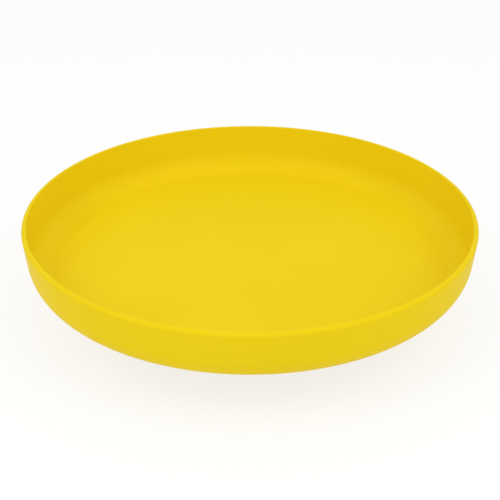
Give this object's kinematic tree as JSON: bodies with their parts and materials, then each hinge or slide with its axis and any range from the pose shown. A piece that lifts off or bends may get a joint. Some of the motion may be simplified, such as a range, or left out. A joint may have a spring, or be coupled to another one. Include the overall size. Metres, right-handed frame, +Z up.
{
  "type": "drum dolly",
  "caption": "Round low-walled plastic pan with a ribbed underside, carried on swivel casters, for standing and rolling an upright steel drum.",
  "frame": {"origin": "on the ground under the centre of the pan", "axes": "+Z up, -Y is the front; the casters trail towards +Y"},
  "size_m": [0.7, 0.7, 0.157],
  "materials": {
    "pan_plastic": "satin moulded polyethylene, safety yellow",
    "insert_brass": "machined",
    "bolt_steel": "bright zinc plated",
    "spring_steel": "zinc plated spring steel",
    "plated_steel": "bright zinc plated pressed sheet",
    "pin_steel": "turned, lightly oiled",
    "ball_steel": "polished bearing steel",
    "hub_nylon": "moulded nylon, natural white",
    "tyre_rubber": "matte grey elastomer"
  },
  "bodies": {
    "base": {"pan": "pan_plastic", "threaded_inserts": "insert_brass", "mounting_bolts": "bolt_steel", "spring_washers": "spring_steel", "caster_1_top_plate": "plated_steel", "caster_1_race_cup": "plated_steel", "caster_1_kingpin": "pin_steel", "caster_2_top_plate": "plated_steel", "caster_2_race_cup": "plated_steel", "caster_2_kingpin": "pin_steel", "caster_3_top_plate": "plated_steel", "caster_3_race_cup": "plated_steel", "caster_3_kingpin": "pin_steel", "caster_4_top_plate": "plated_steel", "caster_4_race_cup": "plated_steel", "caster_4_kingpin": "pin_steel", "caster_5_top_plate": "plated_steel", "caster_5_race_cup": "plated_steel", "caster_5_kingpin": "pin_steel"},
    "swivel_1": {"caster_1_fork": "plated_steel", "caster_1_axle_bolt": "bolt_steel", "caster_1_axle_nut": "bolt_steel", "caster_1_axle_sleeve": "pin_steel"},
    "balls_1": {"caster_1_upper_balls": "ball_steel", "caster_1_lower_balls": "ball_steel"},
    "wheel_1": {"caster_1_wheel_hub": "hub_nylon", "caster_1_tyre": "tyre_rubber"},
    "swivel_2": {"caster_2_fork": "plated_steel", "caster_2_axle_bolt": "bolt_steel", "caster_2_axle_nut": "bolt_steel", "caster_2_axle_sleeve": "pin_steel"},
    "balls_2": {"caster_2_upper_balls": "ball_steel", "caster_2_lower_balls": "ball_steel"},
    "wheel_2": {"caster_2_wheel_hub": "hub_nylon", "caster_2_tyre": "tyre_rubber"},
    "swivel_3": {"caster_3_fork": "plated_steel", "caster_3_axle_bolt": "bolt_steel", "caster_3_axle_nut": "bolt_steel", "caster_3_axle_sleeve": "pin_steel"},
    "balls_3": {"caster_3_upper_balls": "ball_steel", "caster_3_lower_balls": "ball_steel"},
    "wheel_3": {"caster_3_wheel_hub": "hub_nylon", "caster_3_tyre": "tyre_rubber"},
    "swivel_4": {"caster_4_fork": "plated_steel", "caster_4_axle_bolt": "bolt_steel", "caster_4_axle_nut": "bolt_steel", "caster_4_axle_sleeve": "pin_steel"},
    "balls_4": {"caster_4_upper_balls": "ball_steel", "caster_4_lower_balls": "ball_steel"},
    "wheel_4": {"caster_4_wheel_hub": "hub_nylon", "caster_4_tyre": "tyre_rubber"},
    "swivel_5": {"caster_5_fork": "plated_steel", "caster_5_axle_bolt": "bolt_steel", "caster_5_axle_nut": "bolt_steel", "caster_5_axle_sleeve": "pin_steel"},
    "balls_5": {"caster_5_upper_balls": "ball_steel", "caster_5_lower_balls": "ball_steel"},
    "wheel_5": {"caster_5_wheel_hub": "hub_nylon", "caster_5_tyre": "tyre_rubber"}
  },
  "joints": [
    {"name": "swivel_1", "type": "hinge", "parent": "base", "child": "swivel_1", "pos_m": [0, 0.2, 0.0568], "axis": [0, 0, 1], "continuous": true},
    {"name": "ball_orbit_1", "type": "hinge", "parent": "base", "child": "balls_1", "pos_m": [0, 0.2, 0.0568], "axis": [0, 0, 1], "continuous": true},
    {"name": "wheel_spin_1", "type": "hinge", "parent": "swivel_1", "child": "wheel_1", "pos_m": [0, 0.222, 0.025], "axis": [1, 0, 0], "continuous": true},
    {"name": "swivel_2", "type": "hinge", "parent": "base", "child": "swivel_2", "pos_m": [-0.19021, 0.0618, 0.0568], "axis": [0, 0, 1], "continuous": true},
    {"name": "ball_orbit_2", "type": "hinge", "parent": "base", "child": "balls_2", "pos_m": [-0.19021, 0.0618, 0.0568], "axis": [0, 0, 1], "continuous": true},
    {"name": "wheel_spin_2", "type": "hinge", "parent": "swivel_2", "child": "wheel_2", "pos_m": [-0.19021, 0.0838, 0.025], "axis": [1, 0, 0], "continuous": true},
    {"name": "swivel_3", "type": "hinge", "parent": "base", "child": "swivel_3", "pos_m": [-0.11756, -0.1618, 0.0568], "axis": [0, 0, 1], "continuous": true},
    {"name": "ball_orbit_3", "type": "hinge", "parent": "base", "child": "balls_3", "pos_m": [-0.11756, -0.1618, 0.0568], "axis": [0, 0, 1], "continuous": true},
    {"name": "wheel_spin_3", "type": "hinge", "parent": "swivel_3", "child": "wheel_3", "pos_m": [-0.11756, -0.1398, 0.025], "axis": [1, 0, 0], "continuous": true},
    {"name": "swivel_4", "type": "hinge", "parent": "base", "child": "swivel_4", "pos_m": [0.11756, -0.1618, 0.0568], "axis": [0, 0, 1], "continuous": true},
    {"name": "ball_orbit_4", "type": "hinge", "parent": "base", "child": "balls_4", "pos_m": [0.11756, -0.1618, 0.0568], "axis": [0, 0, 1], "continuous": true},
    {"name": "wheel_spin_4", "type": "hinge", "parent": "swivel_4", "child": "wheel_4", "pos_m": [0.11756, -0.1398, 0.025], "axis": [1, 0, 0], "continuous": true},
    {"name": "swivel_5", "type": "hinge", "parent": "base", "child": "swivel_5", "pos_m": [0.19021, 0.0618, 0.0568], "axis": [0, 0, 1], "continuous": true},
    {"name": "ball_orbit_5", "type": "hinge", "parent": "base", "child": "balls_5", "pos_m": [0.19021, 0.0618, 0.0568], "axis": [0, 0, 1], "continuous": true},
    {"name": "wheel_spin_5", "type": "hinge", "parent": "swivel_5", "child": "wheel_5", "pos_m": [0.19021, 0.0838, 0.025], "axis": [1, 0, 0], "continuous": true}
  ],
  "couplings": [
    {"joint": "ball_orbit_1", "follows": "swivel_1", "ratio": 0.5},
    {"joint": "ball_orbit_2", "follows": "swivel_2", "ratio": 0.5},
    {"joint": "ball_orbit_3", "follows": "swivel_3", "ratio": 0.5},
    {"joint": "ball_orbit_4", "follows": "swivel_4", "ratio": 0.5},
    {"joint": "ball_orbit_5", "follows": "swivel_5", "ratio": 0.5}
  ]
}
